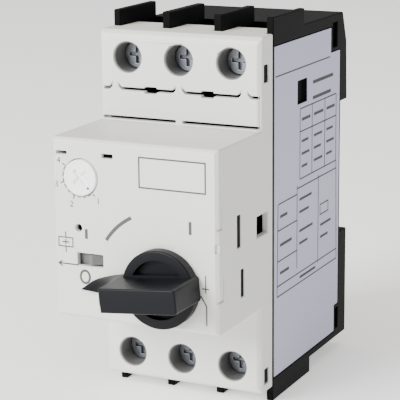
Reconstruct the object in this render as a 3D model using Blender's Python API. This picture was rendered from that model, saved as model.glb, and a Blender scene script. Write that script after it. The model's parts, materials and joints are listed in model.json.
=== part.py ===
"""Three-pole motor protection breaker for a 35 mm rail, as separate parts in their places.

Frame: the origin is on the rail seat at the back, at the middle of the rail, with X to the right,
Y from the front to the back and Z up. Sizes here are millimetres in case coordinates: x from the
middle of the case, depth behind the terminal front, height above the middle of the case. place()
turns them into the frame, in metres.
"""

import math

import bmesh
import bpy
from mathutils import Matrix, Vector

mm = 0.001

# Case
body_width = 45.0
case_height = 92.4          # cover and base, without the phase barrier fins
fin_rise = 4.15             # fins stand past the case by this much, top and bottom
seat_depth = 55.0           # terminal front to rail seat
back_depth = 5.5            # case behind the rail seat
rail_over_middle = 3.0      # middle of the rail above the middle of the case
rail_width = 35.0
rail_recess = 37.3          # height of the recess for the rail
block_height = 45.8         # switch block at the front, which fits a panel cut-out
block_depth = 25.1

# Walls
cover_front = 2.0
cover_side = 1.8
block_wall = 1.6
cover_roof = 2.0
outer_wall = 1.85
partition = 2.2
shelf = 1.3
rear_wall = 2.0

# Clearances
gap = 0.3                   # between parts that touch or slide
pin_gap = 0.2

# Depths of the case's steps
cover_reach = 7.7           # cover sides end here and the base begins
roof_reach = 17.0           # cover's roof between the fins
top_fin_back = 28.4
bottom_fin_back = 33.6

# Terminals
screw_inset = 6.85          # screw row below the top of the case, and above its bottom
access_radius = 4.05
tube_wall = 1.3
tube_back = 10.3
screw_head_radius = 3.5
screw_head_length = 2.3
screw_head_rise = 5.0       # the head stands forward by this much in its access tube
screw_shank_radius = 2.0
clamp_travel = 3.5
clamp_wall = 1.6
clamp_height = 8.6
wire_space = 6.3            # free depth for the conductor when the clamp is open
bar_width = 6.4
bar_thickness = 1.5

# Knob
knob_x = 7.8
knob_height = -12.1
knob_rest_angle = 5.5       # degrees that the pointer dips below level when off
disc_radius = 9.85
disc_thickness = 2.8
handle_front = 13.5         # handle's front above the block
handle_width = 6.4
pointer_length = 23.1
handle_tail = 11.0
shaft_radius = 3.0
tang = 3.6

# Current dial
dial_x = -14.6
dial_height = 13.15
dial_radius = 4.5
dial_rest_angle = -48.0     # degrees, where its arrow points at rest, counted from the right

# Test slider
window_x = (-16.0, -8.8)
window_height = (-9.2, -6.0)
test_travel = 2.4

# Contacts and release
contact_travel = 2.9
contact_pitch = 14.0        # between the two contact points of a pole
contact_tip_radius = 1.5
fixed_tip_depth = 31.5
coil_height = -14.0
coil_radius = 5.6
plunger_radius = 2.5
plunger_travel = 2.0

# Rail foot
foot_half_width = 9.0
foot_slide_half_width = 5.7
foot_travel = 2.8
rail_hold = 1.2             # how far hook and foot reach over the rail's edges

# Side label
label_thickness = 0.3

half_width = body_width / 2
half_case = case_height / 2
half_block = block_height / 2
fin_top = half_case + fin_rise
base_front = cover_reach + gap
case_back = seat_depth + back_depth
cavity_width = (body_width - 2 * outer_wall - 2 * partition) / 3
pole_pitch = cavity_width + partition
poles = {"1": -pole_pitch, "2": 0.0, "3": pole_pitch}
cavity_back = seat_depth - rear_wall
screw_row = half_case - screw_inset
shelf_height = screw_row - clamp_height / 2 - 7.5
tube_radius = min(access_radius + tube_wall, cavity_width / 2 - gap)
recess_bottom = rail_over_middle - rail_recess / 2
recess_top = rail_over_middle + rail_recess / 2

screw_front = tube_back + gap
screw_neck = screw_front + screw_head_length
clamp_front = screw_neck + gap + clamp_travel + 0.1
bar_front = clamp_front + clamp_wall + gap
clamp_back = bar_front + bar_thickness + wire_space + clamp_wall - 0.2
bar_back = bar_front + bar_thickness

colors = {
    "cover_plastic": ((0.68, 0.68, 0.65), 0.45, 0.0),
    "base_plastic": ((0.03, 0.03, 0.03), 0.5, 0.0),
    "knob_plastic": ((0.03, 0.033, 0.042), 0.35, 0.0),
    "dial_plastic": ((0.88, 0.88, 0.87), 0.4, 0.0),
    "slider_plastic": ((0.28, 0.28, 0.27), 0.5, 0.0),
    "carrier_plastic": ((0.12, 0.1, 0.09), 0.5, 0.0),
    "label_film": ((0.5, 0.5, 0.58), 0.5, 0.0),
    "zinc_steel": ((0.6, 0.61, 0.63), 0.3, 1.0),
    "copper": ((0.8, 0.45, 0.3), 0.3, 1.0),
    "spring_steel": ((0.5, 0.5, 0.5), 0.3, 1.0),
    "winding": ((0.55, 0.25, 0.12), 0.4, 0.6),
    "fibre": ((0.45, 0.35, 0.25), 0.8, 0.0),
}


def place(x, depth, height):
    """A point in case coordinates as a point of the frame, in metres."""
    return Vector((x, depth - seat_depth, height - rail_over_middle)) * mm


def on_axis(axis, u, v, w):
    """Case coordinates of a point (u, v) of an outline across an axis, at w along it."""
    return {"x": (w, u, v), "d": (u, w, v), "h": (u, v, w)}[axis]


def loft(axis, sections):
    """A solid through outlines with the same number of points, each with its place on the axis."""
    bm = bmesh.new()
    rings = []
    for outline, w in sections:
        rings.append([bm.verts.new(place(*on_axis(axis, u, v, w))) for u, v in outline])
    count = len(rings[0])
    bm.faces.new(rings[0])
    bm.faces.new(rings[-1])
    for low, high in zip(rings, rings[1:]):
        for i in range(count):
            j = (i + 1) % count
            bm.faces.new((low[i], low[j], high[j], high[i]))
    bmesh.ops.recalc_face_normals(bm, faces=bm.faces)
    return bm


def prism(axis, outline, low, high):
    return loft(axis, [(outline, low), (outline, high)])


def box(x, depth, height):
    (x0, x1), (d0, d1) = x, depth
    return prism("h", [(x0, d0), (x1, d0), (x1, d1), (x0, d1)], *height)


def circle(radius, center=(0.0, 0.0), sides=24, start=0.0, end=2 * math.pi):
    """Points round a circle, or along an arc with both its ends."""
    whole = abs(end - start) > 2 * math.pi - 1e-6
    steps = sides if whole else sides - 1
    angles = [start + (end - start) * i / steps for i in range(sides)]
    return [(center[0] + radius * math.cos(a), center[1] + radius * math.sin(a)) for a in angles]


def rod(axis, center, radius, low, high, sides=24):
    return prism(axis, circle(radius, center, sides), low, high)


def coil(axis, center, radius, wire, low, high, turns, sides=6, steps=12):
    """A helical spring of round wire, with closed flat ends."""
    bm = bmesh.new()
    count = int(turns * steps)
    low, high = low + wire, high - wire
    rings = []
    for i in range(count + 1):
        angle = 2 * math.pi * i / steps
        w = low + (high - low) * i / count
        ring = []
        for k in range(sides):
            around = 2 * math.pi * k / sides
            reach = radius + wire * math.cos(around)
            point = (center[0] + reach * math.cos(angle), center[1] + reach * math.sin(angle))
            ring.append(bm.verts.new(place(*on_axis(axis, *point, w + wire * math.sin(around)))))
        rings.append(ring)
    for a, b in zip(rings, rings[1:]):
        for k in range(sides):
            j = (k + 1) % sides
            bm.faces.new((a[k], a[j], b[j], b[k]))
    bm.faces.new(rings[0])
    bm.faces.new(rings[-1])
    bmesh.ops.recalc_face_normals(bm, faces=bm.faces)
    return bm


def material(name):
    found = bpy.data.materials.get(name)
    if found:
        return found
    made = bpy.data.materials.new(name)
    made.use_nodes = True
    shader = made.node_tree.nodes["Principled BSDF"]
    color, roughness, metallic = colors[name]
    shader.inputs["Base Color"].default_value = (*color, 1.0)
    shader.inputs["Roughness"].default_value = roughness
    shader.inputs["Metallic"].default_value = metallic
    return made


def add_object(name, bm, origin):
    """An object whose mesh is bm, with its own origin at a point of the frame."""
    mesh = bpy.data.meshes.new(name)
    bm.to_mesh(mesh)
    bm.free()
    mesh.transform(Matrix.Translation(-origin))
    made = bpy.data.objects.new(name, mesh)
    bpy.context.scene.collection.objects.link(made)
    return made


def combine(part, operation, shapes, origin):
    """A Boolean modifier on part with a collection of hidden shapes, which move with the part."""
    name = f"{part.name}_{operation.lower()}_{len(part.modifiers)}"
    group = bpy.data.collections.new(name)
    bpy.context.scene.collection.children.link(group)
    for number, bm in enumerate(shapes):
        guide = add_object(f"{name}_{number}", bm, origin)
        bpy.context.scene.collection.objects.unlink(guide)
        group.objects.link(guide)
        guide.parent = part
        guide.hide_render = True
        guide.display_type = "WIRE"
    modifier = part.modifiers.new(operation.title(), "BOOLEAN")
    modifier.operation = operation
    modifier.operand_type = "COLLECTION"
    modifier.collection = group
    modifier.solver = "EXACT"


def make(name, shape, finish, *steps, origin=(0.0, 0.0, 0.0), turn=0.0):
    """A part from a first shape and steps of ("add" or "cut", shapes). origin is in case
    coordinates, and turn is the part's angle about Y, in degrees."""
    point = place(*origin)
    part = add_object(name, shape, point)
    part.location = point
    part.rotation_euler.y = math.radians(turn)
    part.data.materials.append(material(finish))
    for kind, shapes in steps:
        combine(part, {"add": "UNION", "cut": "DIFFERENCE"}[kind], shapes, point)
    part.data.shade_smooth()
    part.data.set_sharp_from_angle(angle=math.radians(35))
    return part


def mirrored(outline):
    """An outline's upper half, given from right to left, with its mirror image below."""
    return outline + [(u, -v) for u, v in reversed(outline) if abs(v) > 1e-9]


def corner_cut(side, depth, chamfer, height):
    """A wedge that takes the vertical corner off at a side (1 or -1) and a front depth."""
    past = 1.0
    points = [
        (side * (half_width - chamfer - past), depth - past),
        (side * (half_width + past), depth - past),
        (side * (half_width + past), depth + chamfer + past),
    ]
    return prism("h", points, *height)


def front_cover():
    """Terminal shrouds and switch block in one shell, open at the back."""
    soft = 0.8
    upper = [
        (roof_reach, half_case), (1.5, half_case), (0.4, half_case - 0.9), (0.0, half_case - 2.3),
        (0.0, half_block), (soft - block_depth, half_block), (-block_depth, half_block - soft),
    ]
    outline = upper + [(d, -h) for d, h in reversed(upper)]
    inside = half_width - cover_side
    past = 1.5
    hollow = [
        (-inside, cover_front), (inside, cover_front), (inside, cover_reach),
        (half_width + past, cover_reach), (half_width + past, roof_reach + past),
        (-half_width - past, roof_reach + past), (-half_width - past, cover_reach),
        (-inside, cover_reach),
    ]
    roof_inside = half_case - cover_roof
    shells = [
        prism("h", hollow, -roof_inside, roof_inside),
        box((-inside, inside), (block_wall - block_depth, cover_front + 1.0),
            (cover_side - half_block, half_block - cover_side)),
    ]
    tall = (-half_case - past, half_case + past)
    behind = (cover_reach, roof_reach + past)
    fin_half = partition / 2 + gap
    for side in (-1, 1):
        fin = side * pole_pitch / 2
        shells.append(box((fin - fin_half, fin + fin_half), behind, tall))
        edge = sorted((side * (half_width - outer_wall - gap), side * (half_width + past)))
        shells.append(box(edge, behind, tall))
        for end in (-1, 1):
            span = sorted((end * half_block, end * (half_case + past)))
            shells.append(corner_cut(side, 0.0, 1.0, span))
        shells.append(corner_cut(side, -block_depth, 0.8, (-half_block - past, half_block + past)))
    tubes, cuts = [], []
    for x in poles.values():
        for row in (-screw_row, screw_row):
            tubes.append(rod("d", (x, row), tube_radius, cover_front / 2, tube_back, 40))
            cuts.append(rod("d", (x, row), access_radius, -past, tube_back + past, 40))
    cuts += knock_out_strip() + block_openings() + side_openings()
    make("front_cover", prism("x", outline, -half_width, half_width), "cover_plastic",
         ("cut", shells), ("add", tubes), ("cut", cuts))


def knock_out_strip():
    """Grooves through the wall above the block, crossed by thin bridges, which let the strip
    over the auxiliary switch bay be broken out."""
    groove = 0.8
    low, high = half_block + 0.7, half_block + 8.3
    bridge, rise = 0.9, 0.9
    through = (-1.0, cover_front + 0.5)
    bridges = (-18.1, 0.0, 18.1)
    edges = [-half_width + 1.0] + [b for x in bridges for b in (x - bridge - rise, x + bridge + rise)]
    edges.append(half_width - 0.4)
    cuts = []
    for number, (x0, x1) in enumerate(zip(edges[::2], edges[1::2])):
        line = [(x0, high), (x1, high)]
        if number > 0:
            line.insert(0, (x0 - rise, high + rise))
        if number < len(bridges):
            line.append((x1 + rise, high + rise))
        ribbon = [(u, v - groove / 2) for u, v in line]
        ribbon += [(u, v + groove / 2) for u, v in reversed(line)]
        cuts.append(prism("d", ribbon, *through))
    for side in (-1, 1):
        span = sorted((side * bridge, side * (half_width - 0.4)))
        cuts.append(box(span, through, (low - groove / 2, low + groove / 2)))
        slot = side * 8.0
        cuts.append(box((slot - 1.7, slot + 1.7), through, (high - 0.95, high + 0.85)))
        corner = sorted((side * (half_width - 0.5), side * (half_width + 1.0)))
        cuts.append(box(corner, (-1.0, 0.7), (low, high)))
    return cuts


def block_openings():
    """Holes in the front wall of the switch block."""
    through = (-block_depth - 1.0, block_wall - block_depth + 1.0)
    return [
        rod("d", (knob_x, knob_height), shaft_radius + gap, *through),
        rod("d", (dial_x, dial_height), dial_radius + gap, *through, sides=32),
        rod("d", (-15.45, 0.35), 1.0, *through, sides=12),
        box((-21.4, -18.4), through, (18.6, 19.5)),
        box((-8.65, -5.6), through, (18.45, 19.6)),
        box(window_x, through, window_height),
    ]


def side_openings():
    """Slots in both side walls of the cover, where side-mounted blocks hook in."""
    cuts = []
    for side in (-1, 1):
        wall = sorted((side * (half_width - cover_side - 0.6), side * (half_width + 1.0)))
        cuts += [
            box(wall, (-14.0, -11.6), (-3.7, 4.6)),
            box(wall, (-11.85, -9.65), (-16.7, -9.5)),
            box(wall, (-2.2, 4.9), (-3.9, 1.6)),
            box(wall, (2.3, 5.2), (34.6, 39.1)),
            box(wall, (2.6, 5.5), (-45.2 + cover_roof / 2, -40.0)),
        ]
        skin = sorted((side * (half_width - 0.5), side * (half_width + 1.0)))
        for foot, line in ((3.2, -22.6), (-14.8, -21.8)):
            cuts.append(box(skin, (line - 0.25, line + 0.25), (foot, foot + 6.0)))
            cuts.append(box(skin, (-block_depth - 1.0, line), (foot, foot + 0.5)))
        corner = sorted((side * (half_width - 0.9), side * (half_width + 1.0)))
        cuts.append(box(corner, (-block_depth - 1.0, -24.2), (-2.2, 0.1)))
    return cuts


def label_outline(margin):
    """The label's outline on the base's side, grown by a margin."""
    front, back = base_front + 0.9 - margin, cavity_back + 1.3 + margin
    top, bottom = 42.8 + margin, -44.0 - margin
    return [
        (front, bottom), (51.6 + margin, bottom), (51.6 + margin, -36.4 - margin),
        (back, -36.4 - margin), (back, 36.0 + margin), (47.6 + margin, 36.0 + margin),
        (47.6 + margin, top), (front, top),
    ]


def base_housing():
    """Rear case: pole chambers between partitions, fins between the cable entries, and the
    recess with its fixed hooks for the rail."""
    past = 1.5
    lean = 0.5
    outline = [
        (base_front, -fin_top), (bottom_fin_back, -fin_top), (bottom_fin_back, -half_case),
        (case_back, -half_case), (case_back, recess_bottom), (seat_depth, recess_bottom),
        (seat_depth, recess_top), (case_back - lean, recess_top), (case_back - 1.2, half_case - 8.2),
        (case_back - 4.1, half_case), (top_fin_back, half_case), (top_fin_back, fin_top),
        (base_front, fin_top),
    ]
    chamber_end = half_case - cover_roof
    chamber = [
        (base_front - past, -shelf_height), (bottom_fin_back + 1.9, -shelf_height),
        (bottom_fin_back + 1.9, -chamber_end), (cavity_back, -chamber_end),
        (cavity_back, chamber_end), (top_fin_back + 1.9, chamber_end),
        (top_fin_back + 1.9, shelf_height), (base_front - past, shelf_height),
    ]
    cuts = []
    for x in poles.values():
        wide = (x - cavity_width / 2, x + cavity_width / 2)
        cuts.append(prism("x", chamber, *wide))
        cuts.append(box(wide, (base_front - past, top_fin_back + gap), (shelf_height + shelf, fin_top + past)))
        cuts.append(box(wide, (base_front - past, bottom_fin_back + gap), (-fin_top - past, -shelf_height - shelf)))
        passage = (x - bar_width / 2 - gap, x + bar_width / 2 + gap)
        for end in (-1, 1):
            span = sorted((end * (shelf_height - 1.0), end * (shelf_height + shelf + 1.0)))
            cuts.append(box(passage, (bar_front - gap, bar_back + gap), span))
    inner = half_width - outer_wall
    cuts.append(box((0.6 - inner, inner - 0.6), (base_front - past, 11.0), (1.0, 13.0)))
    spring_x = -pole_pitch / 2
    cuts.append(box((spring_x - 2.4, spring_x + 2.4), (base_front - past, 15.3), (4.4, 9.6)))
    below = (-half_case - past, recess_bottom + past)
    wide = foot_half_width + gap
    slide = foot_slide_half_width + gap
    cuts.append(box((-wide, wide), (seat_depth + 1.2, seat_depth + 3.3), below))
    cuts.append(box((-slide, slide), (seat_depth + 3.0, case_back + past), below))
    pocket = half_width - label_thickness - gap
    cuts.append(prism("x", label_outline(gap), pocket, half_width + past))
    for side in (-1, 1):
        skin = sorted((side * (half_width - 1.2), side * (half_width + past)))
        cuts += [
            box(skin, (24.0, 30.8), (25.6, 31.9)),
            box(skin, (48.9, 52.2), (37.3, 44.0)),
            box(skin, (52.6, 54.6), (-43.6, -37.6)),
        ]
    hook_tip = rail_over_middle + rail_width / 2 - rail_hold
    hooks = [box((-8.0, 8.0), (seat_depth + 1.6, case_back - 0.8), (hook_tip, recess_top + 1.0))]
    peg = [box((-1.8, 1.8), (seat_depth + 0.9, case_back - 1.0), (-33.0, -31.0))]
    make("base_housing", prism("x", outline, -half_width, half_width), "base_plastic",
         ("cut", cuts), ("add", hooks + peg))


def handle_outline(tip, tail, half):
    """Half of the handle's outline, from its tail to its tip, with the mirror image below."""
    neck = 10.4
    reach = tip - neck
    nose = [(neck, half)] + [(neck + reach * f, half * k) for f, k in ((0.3, 0.86), (0.55, 0.66), (0.8, 0.38))]
    upper = [(tail, half - 0.8), (tail - 0.7, half)] + [(-u, v) for u, v in nose] + [(-tip, 0.0)]
    return mirrored(upper)


def rotary_knob():
    """Disc with two hollows and a bar handle, whose left end runs down to a pointer."""
    x, h = knob_x, knob_height
    back = -block_depth - gap
    front = -block_depth - handle_front
    disc_front = back - disc_thickness
    half = handle_width / 2
    shapes = [
        (pointer_length, handle_tail, half, back), (18.6, 10.9, half - 0.05, back - 1.9),
        (14.4, 10.8, half - 0.1, back - 4.2), (12.1, 10.5, half - 0.2, back - 7.3),
        (10.6, 9.9, half - 0.4, front),
    ]
    shift = lambda points: [(x + u, h + v) for u, v in points]
    handle = loft("d", [(shift(handle_outline(*size)), depth) for *size, depth in shapes])
    hollow_radius = disc_radius - 2.4
    side = half + 0.5
    start = math.asin(side / hollow_radius)
    hollows = []
    for sign in (1, -1):
        arc = circle(hollow_radius, sides=17, start=start, end=math.pi - start)
        hollows.append(prism("d", shift([(u, sign * v) for u, v in arc]), disc_front - 1.0, disc_front + 1.9))
    socket = tang / 2 + gap
    hole = box((x - socket, x + socket), (-34.0, -block_depth + 1.0), (h - socket, h + socket))
    make("rotary_knob", rod("d", (x, h), disc_radius, disc_front, back, 64), "knob_plastic",
         ("cut", hollows), ("add", [handle]), ("cut", [hole]),
         origin=(x, -block_depth, h), turn=-knob_rest_angle)


def knob_shaft():
    """Round shaft with a square tang in the knob and a drive cam near its inner end."""
    x, h = knob_x, knob_height
    half = tang / 2
    tip = box((x - half, x + half), (-33.0, -block_depth + 1.0), (h - half, h + half))
    cam = prism("d", [(x, h - 2.4), (x + 6.2, h - 1.6), (x + 7.4, h), (x + 6.2, h + 1.6), (x, h + 2.4)], -4.2, -1.4)
    make("knob_shaft", rod("d", (x, h), shaft_radius, -block_depth, -0.9), "zinc_steel",
         ("add", [tip, cam]), origin=(x, -block_depth, h), turn=-knob_rest_angle)


def current_dial():
    """Setting dial with a screwdriver slot, a flange behind the wall and a stem."""
    x, h = dial_x, dial_height
    wall_back = block_wall - block_depth
    face = -block_depth - 0.4
    flange = rod("d", (x, h), dial_radius + 1.1, wall_back + gap, wall_back + 1.3, 32)
    stem = rod("d", (x, h), 1.6, wall_back + 1.0, -12.0, 16)
    slot = box((x - 3.0, x + 3.0), (face - 1.0, face + 0.7), (h - 0.45, h + 0.45))
    make("current_dial", rod("d", (x, h), dial_radius, face, wall_back + 0.8, 32), "dial_plastic",
         ("add", [flange, stem]), ("cut", [slot]),
         origin=(x, -block_depth, h), turn=-dial_rest_angle)


def test_slider():
    """Plate behind the window with a thumb ramp in it, and a post that reaches the trip bar."""
    back = block_wall - block_depth + gap
    low, high = window_height
    right = window_x[1] - gap
    left = right - 3.8
    ramp = [(left, back + 0.5), (left, back - 1.7), (left + 1.0, back - 1.7), (right, back - 0.2), (right, back + 0.5)]
    thumb = prism("h", ramp, low + gap, high - gap)
    post = box((-12.5, -10.5), (back + 0.5, 2.7), (-8.6, -6.6))
    plate = box((window_x[0] - 2.0, window_x[1] + 3.3), (back, back + 1.0), (low - 1.0, high + 1.0))
    make("test_slider", plate, "slider_plastic", ("add", [thumb, post]), origin=(right, back, -7.6))


def trip_bar():
    """Bar across the poles, with a finger beside each bimetal strip."""
    fingers = [box((x - 3.0, x - 1.6), (5.0, 14.3), (-9.3, -6.0)) for x in poles.values()]
    end = half_width - cover_side - gap
    make("trip_bar", box((test_travel - end, end), (3.0, 6.0), (-9.5, -5.5)), "carrier_plastic",
         ("add", fingers), origin=(0.0, 4.5, -7.5))


def mechanism_frame():
    """Bent steel plate that carries the shaft and the latch."""
    low, high = cover_side + gap - half_block, 4.0
    left, right = -2.0, 17.6
    thick = 1.2
    flat = [
        (left, -7.5), (right, -7.5), (right, 1.0), (right - thick, 1.0), (right - thick, -7.5 + thick),
        (left + thick, -7.5 + thick), (left + thick, 1.0), (left, 1.0),
    ]
    hole = rod("d", (knob_x, knob_height), shaft_radius + gap, -9.0, -5.0)
    make("mechanism_frame", prism("h", flat, low, high), "zinc_steel", ("cut", [hole]))


def trip_latch():
    """Lever on its pin, and the pin on the frame."""
    x, h = 3.5, -1.0
    pin = 1.0
    hub = rod("d", (x, h), 2.3, -4.6, -2.6, 20)
    arm = prism("d", [(x, h - 1.3), (x + 7.5, h + 0.2), (x + 7.5, h + 2.2), (x, h + 1.3)], -4.6, -2.6)
    bore = rod("d", (x, h), pin + pin_gap, -6.0, -1.0, 16)
    make("trip_latch", hub, "zinc_steel", ("add", [arm]), ("cut", [bore]), origin=(x, -4.6, h))
    make("latch_pin", rod("d", (x, h), pin, -6.0, 0.7, 16), "spring_steel")


def contact_carrier():
    """Bar in front of the poles with an arm into each, whose window holds the bridge."""
    arms, windows = [], []
    end = fixed_tip_depth - contact_travel + 0.8
    for x in poles.values():
        arms.append(box((x - 3.4, x + 3.4), (5.5, end), (3.2, 10.8)))
        windows.append(box((x - 2.4, x + 2.4), (19.0, end - 1.6), (1.0, 13.0)))
    make("contact_carrier", box((-19.6, 19.6), (2.5, 6.5), (2.0, 12.0)), "carrier_plastic",
         ("add", arms), ("cut", windows), origin=(0.0, 2.5, 7.0))
    make("carrier_spring", coil("d", (-pole_pitch / 2, 7.0), 1.6, 0.35, 6.5 + gap, 15.0, 4), "spring_steel")


def pole(number, x):
    """Everything that a pole holds between its two terminals."""
    wide = (x - bar_width / 2, x + bar_width / 2)
    middle = 7.0
    upper, lower = middle + contact_pitch / 2, middle - contact_pitch / 2
    tip = contact_tip_radius
    bridge_back = fixed_tip_depth - contact_travel - gap - 0.8
    tips = [rod("d", (x, h), tip, bridge_back - 0.5, bridge_back + 0.8, 12) for h in (upper, lower)]
    make(f"contact_bridge_{number}",
         box((x - 2.0, x + 2.0), (bridge_back - 1.2, bridge_back), (lower - tip, upper + tip)),
         "copper", ("add", tips), origin=(x, bridge_back, middle))
    make(f"contact_spring_{number}",
         coil("d", (x, middle), 1.4, 0.3, 19.0 + gap, bridge_back - 1.2 - gap, 3), "spring_steel")

    leg, leg_back = fixed_tip_depth + 1.0, fixed_tip_depth + 2.5
    run = shelf_height - 5.0
    bar_end = screw_row + 3.0
    line = [
        (bar_front, bar_end), (bar_front, run - bar_thickness), (leg, run - bar_thickness),
        (leg, upper - 2.0), (leg_back, upper - 2.0), (leg_back, run), (bar_back, run),
        (bar_back, bar_end),
    ]
    seat = rod("d", (x, upper), tip + 0.1, fixed_tip_depth, leg + 0.1, 12)
    make(f"line_contact_{number}", prism("x", line, *wide), "copper", ("add", [seat]))
    yoke_top = coil_height + coil_radius + 0.4
    shelf_top = yoke_top + 1.5 + 0.5
    coil_bar = [
        (leg, lower + 2.0), (leg, shelf_top), (48.0, shelf_top), (48.0, shelf_top + bar_thickness),
        (leg_back, shelf_top + bar_thickness), (leg_back, lower + 2.0),
    ]
    seat = rod("d", (x, lower), tip + 0.1, fixed_tip_depth, leg + 0.1, 12)
    make(f"coil_contact_{number}", prism("x", coil_bar, *wide), "copper", ("add", [seat]))
    foot_low = -shelf_height + gap
    load = [
        (bar_front, -bar_end), (bar_back, -bar_end), (bar_back, foot_low + bar_thickness),
        (9.5, foot_low + bar_thickness), (9.5, foot_low), (bar_front, foot_low),
    ]
    make(f"load_contact_{number}", prism("x", load, *wide), "copper")

    yoke_back = cavity_back - gap
    yoke_low = 2 * coil_height - yoke_top
    yoke = [
        (37.0, yoke_top), (37.0, yoke_top + 1.5), (yoke_back, yoke_top + 1.5),
        (yoke_back, yoke_low - 1.5), (37.0, yoke_low - 1.5), (37.0, yoke_low),
        (yoke_back - 1.5, yoke_low), (yoke_back - 1.5, yoke_top),
    ]
    make(f"magnet_yoke_{number}", prism("x", yoke, x - 5.0, x + 5.0), "zinc_steel")
    make(f"magnet_coil_{number}", rod("d", (x, coil_height), coil_radius, 38.0, yoke_back - 1.5 - gap, 20),
         "winding", ("cut", [rod("d", (x, coil_height), plunger_radius + gap, 36.0, 54.0, 16)]))
    head = rod("d", (x, coil_height), plunger_radius + 0.8, 24.0, 26.0, 16)
    make(f"magnet_plunger_{number}", rod("d", (x, coil_height), plunger_radius, 25.0, 48.0, 16),
         "zinc_steel", ("add", [head]), origin=(x, 24.0, coil_height))

    strip_low = foot_low + bar_thickness + gap
    make(f"bimetal_strip_{number}", box((x - 0.5, x + 0.5), (9.5, 14.5), (strip_low, -3.0)), "zinc_steel")
    around = box((x - 1.7, x + 1.7), (8.6, 15.4), (strip_low + 2.5, strip_low + 12.5))
    through = box((x - 0.8, x + 0.8), (9.2, 14.8), (strip_low, strip_low + 14.0))
    make(f"heater_winding_{number}", around, "winding", ("cut", [through]))

    top = half_case - cover_roof - gap
    bottom = shelf_height - 2.7
    plates = 6
    plate = 1.0
    pitch = (top - bottom - plate) / (plates - 1)
    slots = [
        box((x - 5.0, x + 5.0), (35.0, 54.0), (bottom + plate + pitch * i, bottom + pitch * (i + 1)))
        for i in range(plates - 1)
    ]
    make(f"arc_chute_{number}", box((x - 5.8, x + 5.8), (36.0, cavity_back - gap), (bottom, top)),
         "fibre", ("cut", slots))


def terminal(side, number, x):
    """Screw and clamp of one terminal. The conductor goes between the bar and the clamp."""
    row = {"line": screw_row, "load": -screw_row}[side]
    head_front = screw_front - screw_head_rise
    head = rod("d", (x, row), screw_head_radius, head_front, screw_neck, 20)
    shank = rod("d", (x, row), screw_shank_radius, screw_neck - 0.3, bar_front - gap, 16)
    arm, half = 2.3, 0.45
    cross = [
        box((x - arm, x + arm), (head_front - 1.0, head_front + 1.1), (row - half, row + half)),
        box((x - half, x + half), (head_front - 1.0, head_front + 1.1), (row - arm, row + arm)),
    ]
    make(f"{side}_screw_{number}", head, "zinc_steel", ("add", [shank]), ("cut", cross),
         origin=(x, head_front, row))
    inside = bar_width / 2 + 0.5
    outside = inside + 1.3
    half_height = clamp_height / 2
    body = box((x - outside, x + outside), (clamp_front, clamp_back), (row - half_height, row + half_height))
    space = box((x - inside, x + inside), (clamp_front + clamp_wall, clamp_back - clamp_wall + 0.2),
                (row - half_height - 1.0, row + half_height + 1.0))
    bore = rod("d", (x, row), screw_shank_radius + gap, clamp_front - 1.0, clamp_front + clamp_wall + 0.5, 16)
    make(f"{side}_clamp_{number}", body, "zinc_steel", ("cut", [space, bore]),
         origin=(x, clamp_front, row))


def rail_foot():
    """Sliding foot that holds the lower edge of the rail, and its spring on the base's peg."""
    wide, slide = foot_half_width, foot_slide_half_width
    bottom = 0.5 - half_case
    tip = rail_over_middle - rail_width / 2 + rail_hold
    plate = box((-wide, wide), (seat_depth + 1.5, seat_depth + 3.0), (bottom, recess_bottom - gap))
    body = box((-slide, slide), (seat_depth + 1.6, case_back - gap), (bottom, tip))
    window_low, window_high = -38.0, -24.0
    window = box((-2.2, 2.2), (seat_depth, case_back + 1.0), (window_low, window_high))
    make("rail_foot", plate, "base_plastic", ("add", [body]), ("cut", [window]),
         origin=(0.0, seat_depth + 3.0, bottom))
    make("rail_foot_spring", coil("h", (0.0, seat_depth + 3.2), 1.3, 0.3, -31.0 + gap, window_high - gap, 4),
         "spring_steel")


def side_label():
    """Label plate in its pocket on the right side of the base."""
    window = box((half_width - 2.0, half_width + 1.0), (24.0, 30.8), (25.6, 31.9))
    make("side_label", prism("x", label_outline(0.0), half_width - label_thickness, half_width),
         "label_film", ("cut", [window]))


for old in list(bpy.data.objects):
    bpy.data.objects.remove(old)

front_cover()
base_housing()
rotary_knob()
knob_shaft()
current_dial()
test_slider()
trip_bar()
mechanism_frame()
trip_latch()
contact_carrier()
for pole_number, pole_x in poles.items():
    pole(pole_number, pole_x)
    for terminal_side in ("line", "load"):
        terminal(terminal_side, pole_number, pole_x)
rail_foot()
side_label()
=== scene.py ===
import json
import math

import bmesh
import bpy
import numpy as np
from mathutils import Matrix, Vector
from mathutils.geometry import delaunay_2d_cdt


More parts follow.
